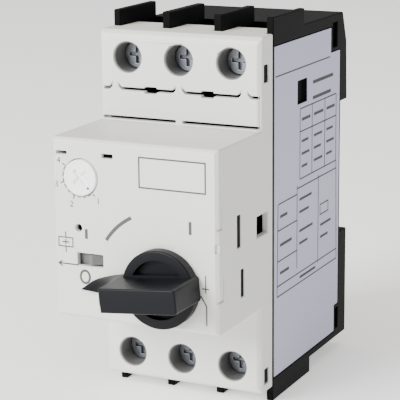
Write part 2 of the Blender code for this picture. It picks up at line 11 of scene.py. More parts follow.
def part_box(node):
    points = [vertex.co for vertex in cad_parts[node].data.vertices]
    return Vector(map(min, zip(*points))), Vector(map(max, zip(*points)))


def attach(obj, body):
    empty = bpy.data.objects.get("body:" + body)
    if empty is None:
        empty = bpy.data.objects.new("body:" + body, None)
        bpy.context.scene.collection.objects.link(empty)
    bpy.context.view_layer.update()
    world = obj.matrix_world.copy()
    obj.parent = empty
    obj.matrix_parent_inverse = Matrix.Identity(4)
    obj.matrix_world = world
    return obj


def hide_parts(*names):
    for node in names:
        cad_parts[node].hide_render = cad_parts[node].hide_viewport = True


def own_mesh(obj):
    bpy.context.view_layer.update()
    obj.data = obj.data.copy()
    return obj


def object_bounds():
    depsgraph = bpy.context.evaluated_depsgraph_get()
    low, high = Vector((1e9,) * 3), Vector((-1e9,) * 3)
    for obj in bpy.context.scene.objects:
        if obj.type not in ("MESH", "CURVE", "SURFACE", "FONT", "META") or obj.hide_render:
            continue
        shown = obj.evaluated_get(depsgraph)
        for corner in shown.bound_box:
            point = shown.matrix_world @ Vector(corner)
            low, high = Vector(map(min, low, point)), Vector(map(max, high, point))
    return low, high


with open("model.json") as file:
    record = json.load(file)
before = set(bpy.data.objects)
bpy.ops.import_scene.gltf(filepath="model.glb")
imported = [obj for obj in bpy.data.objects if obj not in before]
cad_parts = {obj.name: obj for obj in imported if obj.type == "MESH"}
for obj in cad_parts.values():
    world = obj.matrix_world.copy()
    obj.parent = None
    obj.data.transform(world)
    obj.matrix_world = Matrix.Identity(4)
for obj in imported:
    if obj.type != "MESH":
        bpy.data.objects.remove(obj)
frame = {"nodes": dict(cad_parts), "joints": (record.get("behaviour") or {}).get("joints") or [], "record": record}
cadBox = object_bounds()
nodes = frame["nodes"]
joints = {joint["name"]: joint for joint in frame["joints"]}
bodyOf = {}
for bodyName, members in frame["record"]["behaviour"]["bodies"].items():
    for member in members:
        bodyOf[member] = bodyName
slotOf = {part["node"]: part["material_slot"] for part in frame["record"]["subparts"]}
print("frame loaded:", len(nodes), "nodes")

mm = 0.001
tau = 2 * math.pi

# Drawings are in millimetres: x from the middle of the case, depth behind the front of the
# terminals, height above the middle of the case. Their origin comes from the CAD boxes.
coverLow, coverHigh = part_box("front_cover")
blockFront = -25.1
caseOrigin = np.array([0.0, coverLow.y - blockFront * mm, (coverLow.z + coverHigh.z) / 2])


def toFrame(points):
    # drawing millimetres to the frame's metres
    return np.asarray(points, float) * mm + caseOrigin


def toDrawing(point):
    return (np.array(point, float) - caseOrigin) / mm


halfWidth = coverHigh.x / mm
knobAxis = toDrawing(joints["knob_turn"]["pos_m"])
dialAxis = toDrawing(joints["dial_turn"]["pos_m"])


def linear(hexColor):
    # sRGB hex to the linear values that a socket takes
    channels = [int(hexColor[i:i + 2], 16) / 255 for i in (0, 2, 4)]
    return [c / 12.92 if c <= 0.04045 else ((c + 0.055) / 1.055) ** 2.4 for c in channels]


def addNode(tree, kind, settings=None, links=None, **sockets):
    # one node, with its settings, its socket values and the links into it
    node = tree.nodes.new(kind)
    for key, value in (settings or {}).items():
        setattr(node, key, value)
    for key, value in sockets.items():
        node.inputs[key.replace("_", " ")].default_value = value
    for key, source in (links or {}).items():
        tree.links.new(source, node.inputs[key])
    return node


def surfaceMaterial(name, color, roughness, metallic=0.0, ior=1.5, grain=0.25, bump=0.02,
                    mottle=0.04, brushed=None, specular=0.5, coat=0.0):
    # grain: size in millimetres of the moulded or sprayed texture; bump: its height in millimetres
    # mottle: share by which the colour changes over centimetres; brushed: stretch of a drawn finish
    material = bpy.data.materials.new(name)
    material.use_nodes = True
    tree = material.node_tree
    shader = tree.nodes["Principled BSDF"]
    place = addNode(tree, "ShaderNodeTexCoord").outputs["Object"]
    if brushed:
        place = addNode(tree, "ShaderNodeMapping", links={"Vector": place}, Scale=brushed).outputs["Vector"]
    fine = addNode(tree, "ShaderNodeTexNoise", links={"Vector": place}, Scale=1 / (grain * mm),
                   Detail=3.0, Roughness=0.6)
    broad = addNode(tree, "ShaderNodeTexNoise", links={"Vector": place}, Scale=1 / (14 * mm),
                    Detail=4.0, Roughness=0.55)
    base = linear(color)
    dark = [c * (1 - mottle) for c in base] + [1.0]
    light = [min(1.0, c * (1 + mottle)) for c in base] + [1.0]
    tint = addNode(tree, "ShaderNodeMix", {"data_type": "RGBA"})
    tint.inputs["A"].default_value = dark
    tint.inputs["B"].default_value = light
    tree.links.new(broad.outputs["Fac"], tint.inputs["Factor"])
    tree.links.new(tint.outputs["Result"], shader.inputs["Base Color"])
    sheen = addNode(tree, "ShaderNodeMapRange", links={"Value": fine.outputs["Fac"]})
    sheen.inputs["To Min"].default_value = max(0.02, roughness - 0.07)
    sheen.inputs["To Max"].default_value = min(1.0, roughness + 0.07)
    tree.links.new(sheen.outputs["Result"], shader.inputs["Roughness"])
    relief = addNode(tree, "ShaderNodeBump", links={"Height": fine.outputs["Fac"]}, Strength=0.5)
    relief.inputs["Distance"].default_value = bump * mm
    tree.links.new(relief.outputs["Normal"], shader.inputs["Normal"])
    shader.inputs["Metallic"].default_value = metallic
    shader.inputs["IOR"].default_value = ior
    shader.inputs["Specular IOR Level"].default_value = specular
    shader.inputs["Coat Weight"].default_value = coat
    return material


finishes = {
    # polyamide from a spark-eroded mould: a soft, even light grey
    "cover": surfaceMaterial("mouldedPolyamideLightGrey", "D8D8D3", 0.5, grain=0.3, bump=0.012,
                             mottle=0.015),
    # glass-filled polyamide, moulded: dull black with a faint cloudiness from the glass
    "base": surfaceMaterial("glassFilledPolyamideBlack", "060607", 0.55, grain=0.35, bump=0.02,
                            mottle=0.08, specular=0.06),
    # ABS, moulded: blue-black with a soft gloss on the handle's flats
    "knob": surfaceMaterial("mouldedAbsBlueBlack", "0A0B10", 0.4, grain=0.4, bump=0.01, mottle=0.05,
                            specular=0.16),
    # acetal, moulded: smooth, the dial whiter than the cover and the slider mid grey
    "dial": surfaceMaterial("mouldedAcetalWhite", "FEFEFD", 0.35, grain=0.4, bump=0.006, mottle=0.01),
    "slider": surfaceMaterial("mouldedAcetalGrey", "5E5E5E", 0.45, grain=0.4, bump=0.01, mottle=0.03),
    # melamine moulding compound: brown-black and slightly blotchy
    "carrier": surfaceMaterial("thermosetBrownBlack", "3B2F2A", 0.5, grain=0.4, bump=0.02, mottle=0.1),
    # polyester film, printed on its face: flat, a little shiny
    "label": surfaceMaterial("polyesterFilmLavender", "A8A8C2", 0.38, grain=0.8, bump=0.003,
                             mottle=0.012, coat=0.15),
    # pressed steel, zinc plated: bright, with a fine even grain
    "steel": surfaceMaterial("zincPlatedSteel", "B9BCC0", 0.3, metallic=1.0, grain=0.25, bump=0.008,
                             mottle=0.06),
    # cold-rolled strip: the grain is drawn out along the bars
    "copper": surfaceMaterial("coldRolledCopper", "C98A66", 0.28, metallic=1.0, grain=0.2, bump=0.006,
                              mottle=0.12, brushed=(1.0, 6.0, 6.0)),
    # hard-drawn wire: smooth and grey
    "spring": surfaceMaterial("drawnSpringWire", "9A9A9C", 0.25, metallic=1.0, grain=0.1, bump=0.004,
                              mottle=0.05),
    # enamelled copper wire, wound: brown, ribbed across the coil
    "winding": surfaceMaterial("enamelledCopperWire", "8E4A26", 0.3, metallic=0.6, grain=0.5, bump=0.06,
                               mottle=0.12, brushed=(1.0, 5.0, 1.0)),
    # vulcanised fibre board, cut: matt and mottled
    "fibre": surfaceMaterial("vulcanisedFibreBoard", "8A7355", 0.75, grain=0.3, bump=0.03, mottle=0.15),
}
# grey tubes in the terminal holes: painted shade, darkening the holes' walls where shade falls
holeShadeGrey = surfaceMaterial("mouldedPolyamideGrey", "686867", 0.55, grain=0.3, bump=0.012, mottle=0.03)
# the heads of the terminal screws: zinc-plated steel, its colour darkened as painted shade for the holes they sit
# in
shadeDarkenedScrewSteel = surfaceMaterial("passivatedZincPlate", "7F8388", 0.42, metallic=1.0, grain=0.25,
                             bump=0.01, mottle=0.1)
# screen-printed ink, a little more matt than the plastic under it
ink = surfaceMaterial("printedInkGrey", "484844", 0.6, grain=0.5, bump=0.004, mottle=0.05)
inkDark = surfaceMaterial("printedInkDark", "26262C", 0.6, grain=0.5, bump=0.004, mottle=0.05)
print("materials made")


def finishPiece(name, mesh, body, slot, replaced=(), material=None, bevel=None, smooth=35):
    # links a mesh as a piece that rides on a body, with its edges rounded by a bevel in millimetres
    piece = bpy.data.objects.new(name, mesh)
    bpy.context.scene.collection.objects.link(piece)
    mesh.materials.clear()
    mesh.materials.append(material or finishes[slot])
    mesh.shade_smooth()
    if bevel:
        edge = piece.modifiers.new("roundedEdges", "BEVEL")
        edge.width = bevel * mm
        edge.segments = 3
        edge.limit_method = "WEIGHT"
        edge.use_clamp_overlap = False
        edge.loop_slide = False
        edge.face_strength_mode = "FSTR_AFFECTED"
        flats = piece.modifiers.new("flatFaces", "WEIGHTED_NORMAL")
        flats.use_face_influence = True
    else:
        mesh.set_sharp_from_angle(angle=math.radians(smooth))
    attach(piece, body)
    if replaced:
        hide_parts(*replaced)
    return piece


def camelName(node):
    first, *rest = node.split("_")
    return first + "".join(word.title() for word in rest)


def roomForRounding(face, sharp):
    # for each edge of a flat face, the widest strip that can be taken off it without meeting
    # another: nine tenths of the way to it, or half of that where both sides are rounded
    alone, shared = 0.9, 0.45
    corners = np.array([loop.vert.co[:] for loop in face.loops])
    along = np.roll(corners, -1, 0) - corners
    length = np.linalg.norm(along, axis=1)
    ahead = along / np.maximum(length, 1e-9)[:, None]
    normal = np.array(face.normal[:])
    before = np.roll(ahead, 1, 0)
    turn = np.arctan2(np.cross(before, ahead) @ normal, (before * ahead).sum(1))
    taken = np.tan(np.clip(turn, -2.8, 2.8) / 2)
    taken = taken + np.roll(taken, -1)
    room = np.where(taken > 1e-6, alone * length / np.maximum(taken, 1e-6), 1.0)
    # distance from every corner to every edge, leaving out each edge's own ends
    share = ((corners[:, None] - corners[None]) * ahead[None]).sum(2)
    nearest = corners[None] + np.clip(share, 0, length[None])[..., None] * ahead[None]
    gap = np.linalg.norm(corners[:, None] - nearest, axis=2)
    count = len(corners)
    own = (np.arange(count)[:, None] - np.arange(count)[None]) % count
    gap[own <= 1] = 1.0
    toEdge = np.where(sharp | np.roll(sharp, 1), shared, alone)[:, None] * gap
    room = np.minimum(room, toEdge.min(0))
    fromCorner = (np.where(sharp[None], shared, alone) * gap).min(1)
    return np.minimum(room, np.minimum(fromCorner, np.roll(fromCorner, -1)))


def mergedCopy(node, width):
    # a CAD node's loose triangles as one clean mesh, with its flat faces joined up again and a
    # bevel weight on each sharp edge: less than 1 where the full width would not fit
    sharpAngle, flatAngle = math.radians(28), math.radians(0.4)
    mesh = bpy.data.meshes.new(camelName(node))
    bm = bmesh.new()
    bm.from_mesh(nodes[node].data)
    bmesh.ops.remove_doubles(bm, verts=bm.verts, dist=2e-6)
    bmesh.ops.dissolve_limit(bm, angle_limit=flatAngle, verts=bm.verts, edges=bm.edges)
    bmesh.ops.dissolve_degenerate(bm, dist=1e-6, edges=bm.edges)
    bm.edges.index_update()
    isSharp = np.array([edge.calc_face_angle(0.0) > sharpAngle for edge in bm.edges])
    room = np.full(len(bm.edges), 1.0)
    for face in bm.faces:
        index = np.array([loop.edge.index for loop in face.loops])
        np.minimum.at(room, index, roomForRounding(face, isSharp[index]))
    weights = bm.edges.layers.float.new("bevel_weight_edge")
    for edge, sharp, limit in zip(bm.edges, isSharp, room):
        edge[weights] = min(1.0, limit / (width * mm)) if sharp else 0.0
    bm.to_mesh(mesh)
    bm.free()
    for left in ("custom_normal", "sharp_edge", "sharp_face"):
        if left in mesh.attributes:
            mesh.attributes.remove(mesh.attributes[left])
    return mesh


def meshFrom(name, points, faces):
    mesh = bpy.data.meshes.new(name)
    mesh.from_pydata(np.asarray(points).reshape(-1, 3).tolist(), [], [list(f) for f in faces])
    mesh.validate()
    return mesh


def cleanMesh(name, points, faces):
    # joins points that coincide and turns all faces outward
    mesh = meshFrom(name, points, faces)
    bm = bmesh.new()
    bm.from_mesh(mesh)
    bmesh.ops.remove_doubles(bm, verts=bm.verts, dist=1e-7)
    bmesh.ops.recalc_face_normals(bm, faces=bm.faces)
    bm.to_mesh(mesh)
    bm.free()
    return mesh


def ringFaces(rows, columns):
    # quads between closed rings of points
    row = np.arange(rows - 1)[:, None] * columns
    column = np.arange(columns)[None]
    after = (column + 1) % columns
    return np.stack([row + column, row + after, row + columns + after, row + columns + column],
                    -1).reshape(-1, 4).tolist()


def smoothStep(share):
    # 0 to 1 with level ends: 3 s squared less 2 s cubed
    share = np.clip(share, 0, 1)
    return share * share * (3 - 2 * share)


def joined(parts):
    # several (points, faces) as one, with the faces of each moved on to its own points
    points, faces, count = [], [], 0
    for partPoints, partFaces in parts:
        partPoints = np.asarray(partPoints).reshape(-1, 3)
        points.append(partPoints)
        faces += [[index + count for index in face] for face in partFaces]
        count += len(partPoints)
    return np.concatenate(points), faces


def familyOf(node):
    # a node's name without the number of its pole
    return node.rstrip("123").rstrip("_")


printHeight = 0.03      # of the ink above the surface it is printed on
drawnHere = ("rotary_knob", "current_dial", "carrier_spring", "contact_spring", "rail_foot_spring")
# the screw heads take a steel darkened as painted shade
ownFinish = {"line_screw": shadeDarkenedScrewSteel, "load_screw": shadeDarkenedScrewSteel}
softEdges = {
    # node: width of its rounded edges, in millimetres
    "front_cover": 0.3, "base_housing": 0.3, "side_label": 0.06, "test_slider": 0.15,
    "rail_foot": 0.25, "knob_shaft": 0.15, "trip_bar": 0.2, "mechanism_frame": 0.15,
    "contact_carrier": 0.25, "trip_latch": 0.12, "line_screw": 0.15, "load_screw": 0.15,
    "line_clamp": 0.2, "load_clamp": 0.2, "line_contact": 0.12, "load_contact": 0.12,
    "coil_contact": 0.12, "contact_bridge": 0.1, "magnet_yoke": 0.15, "magnet_coil": 0.3,
    "magnet_plunger": 0.15, "arc_chute": 0.12, "bimetal_strip": 0.08, "heater_winding": 0.15,
}

for node in sorted(nodes):
    family = familyOf(node)
    if family in softEdges:
        mesh = mergedCopy(node, softEdges[family])
        if node == "side_label":
            # pressed in by the height of its print
            film = np.array([vert.co[:] for vert in mesh.vertices])
            film[:, 0] = np.minimum(film[:, 0], (halfWidth - printHeight) * mm)
            mesh.vertices.foreach_set("co", film.ravel())
        finishPiece(camelName(node), mesh, bodyOf[node], slotOf[node], [node], ownFinish.get(family),
                    softEdges[family])
    elif family not in drawnHere:
        nodes[node].data.materials.clear()
        nodes[node].data.materials.append(finishes[slotOf[node]])
print("pieces rounded")

# Knob: a disc with two hollows, and a bar handle whose left end sweeps down into a thin pointer.
knobShape = {
    "discRadius": 9.85, "back": -25.4, "discFront": -28.2, "discEdge": 0.4, "hub": 4.0,
    "hollowRadius": 7.45, "hollowChord": 3.7, "hollowMiddle": 5.4,
    # depth below the disc's front, and the outline's size there
    "hollowDepths": (0.0, 1.748, 1.9), "hollowSizes": (1.0, 0.99, 0.97),
    "half": 3.2, "taper": 0.15, "corner": 0.8, "neck": 10.4, "tilt": 5.5, "handleFront": -38.6,
    "round": 0.4, "tail": 10.0,
    # share of the handle's height, and how far the pointer reaches there
    "levels": (0.0, 0.06, 0.144, 0.24, 0.318, 0.42, 0.553, 0.75, 1.0),
    "tips": (23.1, 21.3, 18.6, 16.1, 14.4, 13.1, 12.1, 11.3, 10.6),
    # the pointer's upper and lower edges from the neck to the tip, in halves of the handle's width
    "noseAt": (0.0, 0.2, 0.346, 0.5, 0.6, 0.73, 0.874, 1.0),
    "noseUpper": (1.0, 0.92, 0.81, 0.68, 0.57, 0.36, 0.0, -0.3),
    "noseLower": (-1.0, -0.86, -0.69, -0.46, -0.37, -0.33, -0.31, -0.3),
}


def onKnob(u, v, depth):
    # the handle's own axes: u along it toward the tail, turned by the angle at which it rests
    turn = math.radians(knobShape["tilt"])
    x = knobAxis[0] + u * math.cos(turn) - v * math.sin(turn)
    height = knobAxis[2] + u * math.sin(turn) + v * math.cos(turn)
    return np.stack(np.broadcast_arrays(x, depth, height), -1)


def handleRings():
    # each ring goes from the right end over the upper edge to the pointer's tip and back below; the
    # pointer's length shrinks with height, and the last rings turn over into the front as a
    # quarter of a circle
    shape = knobShape
    level = np.concatenate([np.linspace(0, 1, 30), np.ones(7)])
    over = np.concatenate([np.zeros(30), np.linspace(0, tau / 4, 8)[1:]])
    tall = shape["handleFront"] - shape["back"] + shape["round"]
    depth = shape["back"] + level * tall - shape["round"] * np.sin(over)
    inset = shape["round"] * (1 - np.cos(over))
    tip = (np.interp(level, shape["levels"], shape["tips"]) - inset)[:, None]
    tail = (shape["tail"] - inset)[:, None]
    half = (shape["half"] - shape["taper"] * smoothStep(level) - inset)[:, None]
    corner = shape["corner"]
    end = np.linspace(0, tau / 4, 7)[None]
    endU = tail - corner + corner * np.cos(end)
    endV = half - corner + corner * np.sin(end)
    neck = np.minimum(shape["neck"], tip - 0.2)
    run = np.linspace(0, 1, 24)[None, 1:]
    runU = tail - corner - run * (tail - corner + neck)
    nose = np.linspace(0, 1, 22)[None, 1:-1]
    noseU = -neck - (tip - neck) * nose
    noseUpper = half * np.interp(nose, shape["noseAt"], shape["noseUpper"])
    noseLower = half * np.interp(nose, shape["noseAt"], shape["noseLower"])
    tipV = half * shape["noseUpper"][-1]
    upperU = np.concatenate([endU, runU, noseU], 1)
    straight = np.broadcast_to(half, runU.shape)
    upperV = np.concatenate([endV, straight, noseUpper], 1)
    lowerV = np.concatenate([-endV, -straight, noseLower], 1)
    u = np.concatenate([upperU, -tip, upperU[:, ::-1]], 1)
    v = np.concatenate([upperV, tipV, lowerV[:, ::-1]], 1)
    return onKnob(u, v, depth[:, None])


def handleSurface():
    # the rings joined by quads, with a flat face at each end
    rings = handleRings()
    rows, columns = rings.shape[:2]
    ends = [list(range(columns))[::-1], list(range((rows - 1) * columns, rows * columns))]
    return rings, ringFaces(rows, columns) + ends


def discRim(around):
    # a profile turned about the knob's axis: out along the back, forward, and over a rounded edge
    shape = knobShape
    edge = shape["discEdge"]
    over = np.linspace(0, tau / 4, 6)
    inset = edge * (1 - np.cos(over))
    radius = np.concatenate([[shape["hub"], shape["discRadius"]], shape["discRadius"] - inset])[:, None]
    depth = np.concatenate([[shape["back"]] * 2, shape["discFront"] + edge * (1 - np.sin(over))])[:, None]
    rim = onKnob(radius * np.cos(around), radius * np.sin(around), depth)
    return rim, ringFaces(len(radius), len(around))


def discFace(around, arc):
    # the flat front, filled with triangles but for the two hollows
    shape = knobShape
    outer = np.stack([np.cos(around), np.sin(around)], 1) * (shape["discRadius"] - shape["discEdge"])
    outlines = [outer, arc, arc * [1, -1]]
    rails, first = [], 0
    for outline in outlines:
        rails += [(first + i, first + (i + 1) % len(outline)) for i in range(len(outline))]
        first += len(outline)
    flat = [Vector(spot) for spot in np.concatenate(outlines)]
    spots, _, triangles, *_ = delaunay_2d_cdt(flat, rails, [], 0, 1e-6)
    spots = np.array([spot[:] for spot in spots])
    middle = spots[np.array(triangles)].mean(1)
    inHollow = np.linalg.norm(middle, axis=1) < shape["hollowRadius"]
    inHollow &= abs(middle[:, 1]) > shape["hollowChord"]
    faces = [triangle for triangle, hollow in zip(triangles, inHollow) if not hollow]
    return onKnob(spots[:, 0], spots[:, 1], shape["discFront"]), faces


def discHollow(sign, arc):
    # one hollow: its outline carried inward, slightly smaller at each depth, and its floor
    shape = knobShape
    size = np.array(shape["hollowSizes"])[:, None, None]
    depth = shape["discFront"] + np.array(shape["hollowDepths"])[:, None]
    centre = np.array([0.0, shape["hollowMiddle"]])
    wall = centre + (arc[None] - centre) * size
    rows, columns = wall.shape[:2]
    floor = [list(range((rows - 1) * columns, rows * columns))]
    return onKnob(wall[..., 0], sign * wall[..., 1], depth), ringFaces(rows, columns) + floor


def knobMesh():
    around = np.linspace(0, tau, 96, endpoint=False)
    # a hollow's outline is the arc of a circle above a chord
    low = math.asin(knobShape["hollowChord"] / knobShape["hollowRadius"])
    sweep = np.linspace(low, tau / 2 - low, 30)
    arc = np.stack([np.cos(sweep), np.sin(sweep)], 1) * knobShape["hollowRadius"]
    points, faces = joined([handleSurface(), discRim(around), discFace(around, arc),
                            discHollow(1, arc), discHollow(-1, arc)])
    return cleanMesh("rotaryKnob", toFrame(points), faces)


# Dial: its front is a height field over a polar grid, with a dished face and a cross slot, and
# its rim, flange and stem are a profile turned about the same axis.
dialShape = {
    "radius": 4.5, "front": -25.5, "edge": 0.25, "dish": 0.12, "slotDepth": 0.7, "slotHalf": 0.42,
    "slotReach": 2.4, "slotEdge": 0.12, "dishRadius": 3.9, "dishEdge": 0.2, "rest": -48.0,
    # (radius, depth) of the rim, flange and stem behind the front
    "behind": ((4.5, -23.2), (5.6, -23.2), (5.6, -22.2), (1.6, -22.2), (1.6, -12.0), (0.0, -12.0)),
}


def dialMesh():
    shape = dialShape
    around = np.linspace(0, tau, 120, endpoint=False)[None]
    radius = np.linspace(0, shape["radius"], 61)[:, None]
    turned = around - math.radians(shape["rest"])
    p, q = radius * np.cos(turned), radius * np.sin(turned)

    def bar(across, along):
        # 1 inside one arm of the cross and 0 outside it, with soft edges
        return (smoothStep((shape["slotHalf"] - abs(across)) / shape["slotEdge"] + 0.5)
                * smoothStep((shape["slotReach"] - abs(along)) / shape["slotEdge"] + 0.5))

    past = np.clip((radius - shape["radius"] + shape["edge"]) / shape["edge"], 0, 1)
    depth = shape["front"] + shape["edge"] * (1 - np.sqrt(1 - past ** 2))
    depth = depth + shape["dish"] * smoothStep((shape["dishRadius"] - radius) / shape["dishEdge"])
    depth = depth + shape["slotDepth"] * np.maximum(bar(p, q), bar(q, p))
    behindRadius = np.array([r for r, _ in shape["behind"]])[:, None]
    behindDepth = np.array([d for _, d in shape["behind"]])[:, None] + 0 * around
    radius = np.concatenate([radius, behindRadius])
    depth = np.concatenate([depth, behindDepth])
    across, up = dialAxis[0] + radius * np.cos(around), dialAxis[2] + radius * np.sin(around)
    points = np.stack([across, depth, up], -1).reshape(-1, 3)
    return cleanMesh("currentDial", toFrame(points), ringFaces(len(radius), around.size))


finishPiece("rotaryKnob", knobMesh(), bodyOf["rotary_knob"], "knob", ["rotary_knob"], smooth=38)
finishPiece("currentDial", dialMesh(), bodyOf["current_dial"], "dial", ["current_dial"], smooth=50)
print("knob and dial made")

# Springs: helices of round wire. Those that a joint squeezes get a mesh of their own.
springShape = {
    # node family: radius of the wire in millimetres, turns, axis the coil runs along (0 x, 1 y, 2 z)
    "carrier_spring": (0.35, 6, 1), "contact_spring": (0.3, 5, 1), "rail_foot_spring": (0.3, 6, 2),
}


def springMesh(node, wire, turns, axis):
    # a round section carried along a helix, whose first and last turns lie flat on their neighbours
    low, high = toDrawing(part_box(node)[0]), toDrawing(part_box(node)[1])
    across, beside = (axis + 1) % 3, (axis + 2) % 3
    middle = (low + high) / 2
    coil = (high[across] - low[across]) / 2 - wire
    start, stop, lap = low[axis] + wire, high[axis] - wire, 2.06 * wire
    turned = np.linspace(0, turns, turns * 32 + 1)
    turned = np.concatenate([turned[:1], turned, turned[-1:]])[:, None]
    thick = np.full(turned.shape, wire)
    thick[[0, -1]] = 0.0
    height = np.interp(turned, [0, 1, turns - 1, turns], [start, start + lap, stop - lap, stop])
    section = np.linspace(0, tau, 14, endpoint=False)[None]     # 14 sides round the wire
    out = coil + thick * np.cos(section)
    points = np.zeros((len(turned), section.size, 3))
    points[..., across] = middle[across] + out * np.cos(tau * turned)
    points[..., beside] = middle[beside] + out * np.sin(tau * turned)
    points[..., axis] = height + thick * np.sin(section)
    faces = ringFaces(len(turned), section.size)
    return cleanMesh(camelName(node), toFrame(points.reshape(-1, 3)), faces)


squeezed = {}
for joint in frame["record"]["behaviour"]["joints"]:
    for item in joint.get("deforming_nodes", []):
        squeezed[item["node"]] = (joint, item)
for node in sorted(nodes):
    family = familyOf(node)
    if family not in springShape:
        continue
    wire, turns, axis = springShape[family]
    spring = finishPiece(camelName(node), springMesh(node, wire, turns, axis), bodyOf[node],
                         slotOf[node], [node], smooth=50)
    if node in squeezed:
        # its fixed end, from the joint that squeezes it, and a mesh of its own
        joint, item = squeezed[node]
        low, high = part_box(node)
        anchor = (low + high) / 2
        anchor[axis] = item["fixed_end_" + "xyz"[axis] + "_m"]
        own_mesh(spring)
print("springs wound")

# Prints: one raised film of ink per surface. On the block u is x and v is height; on the label u is
# depth and v is height. Every mark is a flat bar carried along a path.
printRoot = 0.1         # how deep the ink's underside lies in the surface


def markAlong(path, width, closed=False):
    # at each point of the path the bar's section is a rectangle across the mitre of its two runs
    path = np.asarray(path, float)
    ahead = np.roll(path, -1, 0) - path
    if not closed:
        ahead[-1] = ahead[-2]
    behind = np.roll(ahead, 1, 0)
    if not closed:
        behind[0] = ahead[0]
    ahead = ahead / np.linalg.norm(ahead, axis=1)[:, None]
    behind = behind / np.linalg.norm(behind, axis=1)[:, None]
    across = np.stack([-ahead[:, 1], ahead[:, 0]], 1)
    mitre = across + np.stack([-behind[:, 1], behind[:, 0]], 1)
    mitre = mitre / (mitre * across).sum(1)[:, None] * width / 2
    level = np.array([-printRoot, -printRoot, printHeight, printHeight])
    side = np.array([1.0, -1.0, -1.0, 1.0])
    flat = path[:, None] + mitre[:, None] * side[None, :, None]
    points = np.concatenate([flat, np.broadcast_to(level[None, :, None], (len(path), 4, 1))], 2)
    runs = len(path) if closed else len(path) - 1
    first = (np.arange(runs)[:, None] * 4 + np.arange(4)[None]).ravel()
    nextOne = (np.arange(runs)[:, None] * 4 + (np.arange(4)[None] + 1) % 4).ravel()
    size = len(path) * 4
    faces = np.stack([first, nextOne, (nextOne + 4) % size, (first + 4) % size], 1).tolist()
    if not closed:
        faces += [[3, 2, 1, 0], [size - 4, size - 3, size - 2, size - 1]]
    return points.reshape(-1, 3), faces


def ringPath(middle, radiusU, radiusV, start=0.0, stop=360.0, count=40):
    # an arc of an ellipse: middle + (radiusU cos t, radiusV sin t)
    turn = np.radians(np.linspace(start, stop, count, endpoint=(stop - start) % 360 != 0))
    return np.stack([middle[0] + radiusU * np.cos(turn), middle[1] + radiusV * np.sin(turn)], 1)


def boxPath(low, high):
    # the four corners of a rectangle, in order
    return [(low[0], low[1]), (high[0], low[1]), (high[0], high[1]), (low[0], high[1])]


def numeral(text, middle, height):
    # a digit of the built-in font, made a mesh here and then laid on the print's plane
    curve = bpy.data.curves.new("numeral", "FONT")
    curve.body = text
    curve.size = height * 1.45      # a digit is about 0.69 of the font's size
    curve.extrude = (printHeight + printRoot) / 2
    curve.resolution_u = 3
    holder = bpy.data.objects.new("numeral", curve)
    mesh = bpy.data.meshes.new_from_object(holder)
    points = np.array([vert.co[:] for vert in mesh.vertices])
    faces = [list(face.vertices) for face in mesh.polygons]
    bpy.data.objects.remove(holder)
    bpy.data.curves.remove(curve)
    bpy.data.meshes.remove(mesh)
    low, high = points.min(0), points.max(0)
    points = points - (low + high) / 2 + [middle[0], middle[1], (printHeight - printRoot) / 2]
    return points, faces


def printedPiece(name, marks, place, body, material):
    # joins the marks and lays them on a plane; place turns (u, v, height above it) into a drawing point
    points, faces = joined(marks)
    mesh = cleanMesh(name, toFrame(place(points)), faces)
    piece = bpy.data.objects.new(name, mesh)
    bpy.context.scene.collection.objects.link(piece)
    mesh.materials.append(material)
    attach(piece, body)
    return piece


def onBlock(p):
    # (x, height, rise of the ink) to a point on the block's front
    return np.stack([p[:, 0], blockFront - p[:, 2], p[:, 1]], 1)


def onLabel(p):
    # (depth, height, rise of the ink) to a point on the side label
    return np.stack([halfWidth - printHeight + p[:, 2], p[:, 0], p[:, 1]], 1)


def onDial(p):
    # (x, height, rise of the ink) to a point on the dial's dished face
    return np.stack([p[:, 0], dialShape["front"] + dialShape["dish"] - p[:, 2], p[:, 1]], 1)


def onRay(middle, radius, degrees):
    # the point at a distance and an angle from a middle
    turn = np.radians(degrees)
    return middle[0] + radius * np.cos(turn), middle[1] + radius * np.sin(turn)


dialSpot = (dialAxis[0], dialAxis[2])
knobSpot = (knobAxis[0], knobAxis[2])
blockMarks = [
    markAlong(boxPath((1.65, 12.2), (19.3, 19.6)), 0.4, True),                 # frame for a rating plate
    markAlong(ringPath((-13.9, -12.0), 1.3, 1.6, count=28), 0.6, True),        # off
    markAlong([(15.2, 1.8), (15.2, 5.0)], 0.75),                               # on
    markAlong(ringPath(knobSpot, 18.56, 18.56, 117.3, 146.8, 16), 0.9),        # tripped position
    # arrow: the way to push the test slider
    markAlong([(-21.0, -9.15), (-15.9, -9.15)], 0.35),
    markAlong([(-20.3, -8.5), (-21.35, -9.15), (-20.3, -9.8)], 0.35),
    # a grey bar beside the test hole, then the release symbol: a box on its lead and a cross in it
    markAlong([(-13.3, -2.2), (-13.3, 0.3)], 0.8),
    markAlong(boxPath((-21.2, -4.7), (-17.2, -2.4)), 0.3, True),
    markAlong([(-19.2, -6.2), (-19.2, -4.7)], 0.3),
    markAlong([(-19.2, -2.4), (-19.2, -0.9)], 0.3),
    markAlong([(-20.2, -3.55), (-18.2, -3.55)], 0.3),
    markAlong([(-19.2, -4.3), (-19.2, -2.8)], 0.3),
    # contact symbol: two leads, an open blade and a cross
    markAlong([(19.2, -7.9), (19.2, -10.3)], 0.3),
    markAlong([(17.9, -13.1), (19.4, -15.5), (19.4, -20.4)], 0.35),
    markAlong([(18.3, -11.2), (20.1, -11.2)], 0.3),
    markAlong([(19.2, -10.3), (19.2, -12.2)], 0.3),
]
dialNumbers = (
    # numeral, its direction from the dial's middle in degrees, and its distance from there
    ("4", 147, 7.2), ("3", 197, 7.1), ("2", 249, 7.3), ("1", 312, 7.3),
)
tick = {"from": 5.0, "to": 5.9, "width": 0.28, "numeral": 1.5}
ruledRing = {"radius": 4.95, "width": 0.2, "from": 150, "to": 312, "step": 18, "dash": 12}
for text, degrees, reach in dialNumbers:
    ends = [onRay(dialSpot, tick["from"], degrees), onRay(dialSpot, tick["to"], degrees)]
    blockMarks.append(markAlong(ends, tick["width"]))
    blockMarks.append(numeral(text, onRay(dialSpot, reach, degrees), tick["numeral"]))
